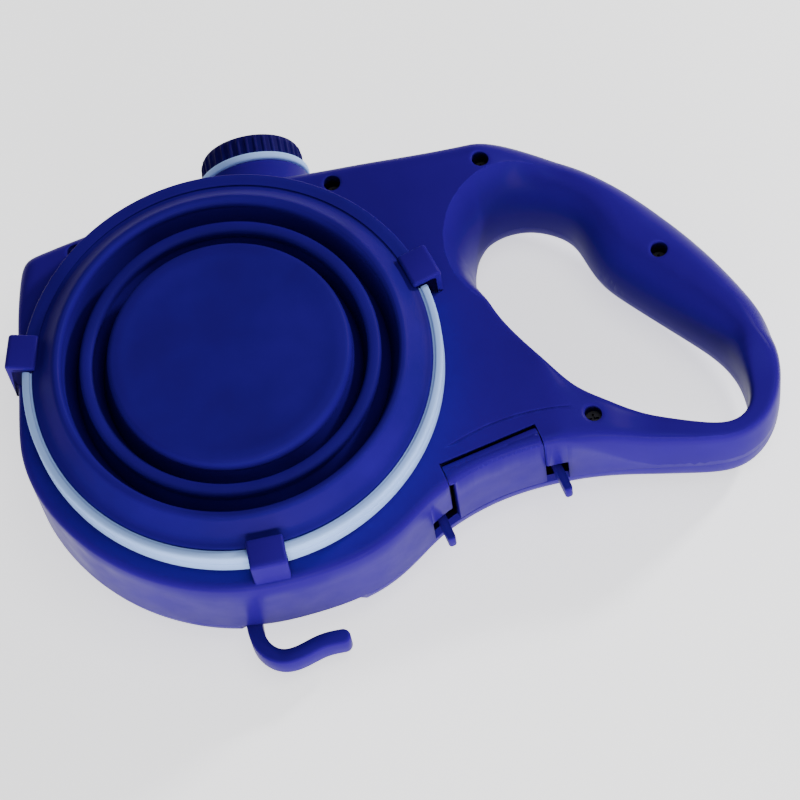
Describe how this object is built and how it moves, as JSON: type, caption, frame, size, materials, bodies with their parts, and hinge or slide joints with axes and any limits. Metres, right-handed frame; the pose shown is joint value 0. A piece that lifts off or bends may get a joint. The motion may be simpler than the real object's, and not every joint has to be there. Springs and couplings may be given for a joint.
{
  "type": "retractable dog leash",
  "caption": "Retractable leash housing with a looped grip, a built-in water bottle, a clip-on folding bowl, a bag compartment and a bag hook.",
  "frame": {"origin": "centre of the flat rest face on the back, on the common axis of the leash reel and the bowl", "axes": "+X from the reel end towards the handle, +Y towards the side with the thumb button and the bottle's cap, +Z out of the front face"},
  "size_m": [0.2271, 0.1649, 0.062],
  "materials": {
    "blue_case": "satin moulded, deep blue",
    "cap_blue": "satin moulded, darker blue",
    "steel": "zinc plated",
    "spring_steel": "bright spring steel",
    "inner_plastic": "black moulded",
    "bush_brass": "plain",
    "tape": "woven nylon",
    "bottle_white": "milky polyethylene",
    "pale_plastic": "satin moulded, pale blue",
    "liner_rubber": "soft seal",
    "bowl_silicone": "soft silicone, blue"
  },
  "bodies": {
    "housing": {"front_shell": "blue_case", "back_shell": "blue_case", "case_screws": "steel", "reel_cover": "inner_plastic", "reel_cover_screws": "steel", "reel_axle": "steel", "spiral_spring": "spring_steel", "tape_run": "tape", "outlet_guide": "inner_plastic", "brake_spring": "spring_steel", "water_bottle": "bottle_white", "neck_ring": "pale_plastic", "clip_left": "blue_case", "clip_right": "blue_case", "clip_bottom": "blue_case", "door_pin": "steel", "bag_box": "inner_plastic", "latch_pins": "steel", "hook_pin": "steel"},
    "reel": {"reel_drum": "inner_plastic", "drum_bush": "bush_brass", "spring_cover": "inner_plastic", "tape_wound": "tape"},
    "brake": {"brake_button": "blue_case"},
    "cap_carrier": {"cap_liner": "liner_rubber"},
    "cap": {"bottle_cap": "cap_blue"},
    "door": {"bag_door": "blue_case"},
    "latch_left_arm": {"latch_left": "blue_case"},
    "latch_right_arm": {"latch_right": "blue_case"},
    "hook": {"bag_hook": "blue_case"},
    "bowl": {"bowl_rim": "pale_plastic", "bowl_wall": "bowl_silicone", "bowl_fold_outer": "bowl_silicone"},
    "bowl_middle": {"bowl_mid_ring": "bowl_silicone", "bowl_fold_inner": "bowl_silicone"},
    "bowl_bottom": {"bowl_base": "bowl_silicone"}
  },
  "joints": [
    {"name": "drum_spin", "type": "hinge", "parent": "housing", "child": "reel", "pos_m": [0, 0, 0.01], "axis": [0, 0, 1], "continuous": true, "deforming": ["spiral_spring"]},
    {"name": "brake_press", "type": "slide", "parent": "housing", "child": "brake", "axis": [0, -1, 0], "range_m": [0, 0.0045], "stiffness_N_per_m": 300, "springref_m": -0.002, "deforming": ["brake_spring"]},
    {"name": "cap_rise", "type": "slide", "parent": "housing", "child": "cap_carrier", "axis": [0, 1, 0], "range_m": [0, 0.0046]},
    {"name": "cap_turn", "type": "hinge", "parent": "cap_carrier", "child": "cap", "pos_m": [0.0153, 0.08, 0.023], "axis": [0, 1, 0], "range_deg": [0, 540]},
    {"name": "door_open", "type": "hinge", "parent": "housing", "child": "door", "pos_m": [0.06949, -0.04001, 0.0432], "axis": [-0.9755, -0.2198, 0], "range_deg": [0, 100]},
    {"name": "latch_left", "type": "hinge", "parent": "housing", "child": "latch_left_arm", "pos_m": [0.05074, -0.0428, 0.021], "axis": [0, 0, -1], "range_deg": [0, 8], "stiffness_Nm_per_rad": 0.03, "springref_deg": -2.86},
    {"name": "latch_right", "type": "hinge", "parent": "housing", "child": "latch_right_arm", "pos_m": [0.08762, -0.03449, 0.021], "axis": [0, 0, 1], "range_deg": [0, 8], "stiffness_Nm_per_rad": 0.03, "springref_deg": -2.86},
    {"name": "hook_swing", "type": "hinge", "parent": "housing", "child": "hook", "pos_m": [-0.0085, -0.0595, 0.01], "axis": [0, 0, 1], "range_deg": [0, 62]},
    {"name": "bowl_lift", "type": "slide", "parent": "housing", "child": "bowl", "axis": [0, 0, 1], "range_m": [0, 0.07], "deforming": ["bowl_rim"]},
    {"name": "bowl_open", "type": "slide", "parent": "bowl", "child": "bowl_middle", "axis": [0, 0, 1], "range_m": [0, 0.018], "deforming": ["bowl_fold_outer"]},
    {"name": "base_rise", "type": "slide", "parent": "bowl_middle", "child": "bowl_bottom", "axis": [0, 0, 1], "range_m": [0, 0.018], "deforming": ["bowl_fold_inner"]}
  ],
  "couplings": [
    {"joint": "cap_rise", "follows": "cap_turn", "m_per_rad": 0.000477},
    {"joint": "base_rise", "follows": "bowl_open", "ratio": 1}
  ]
}
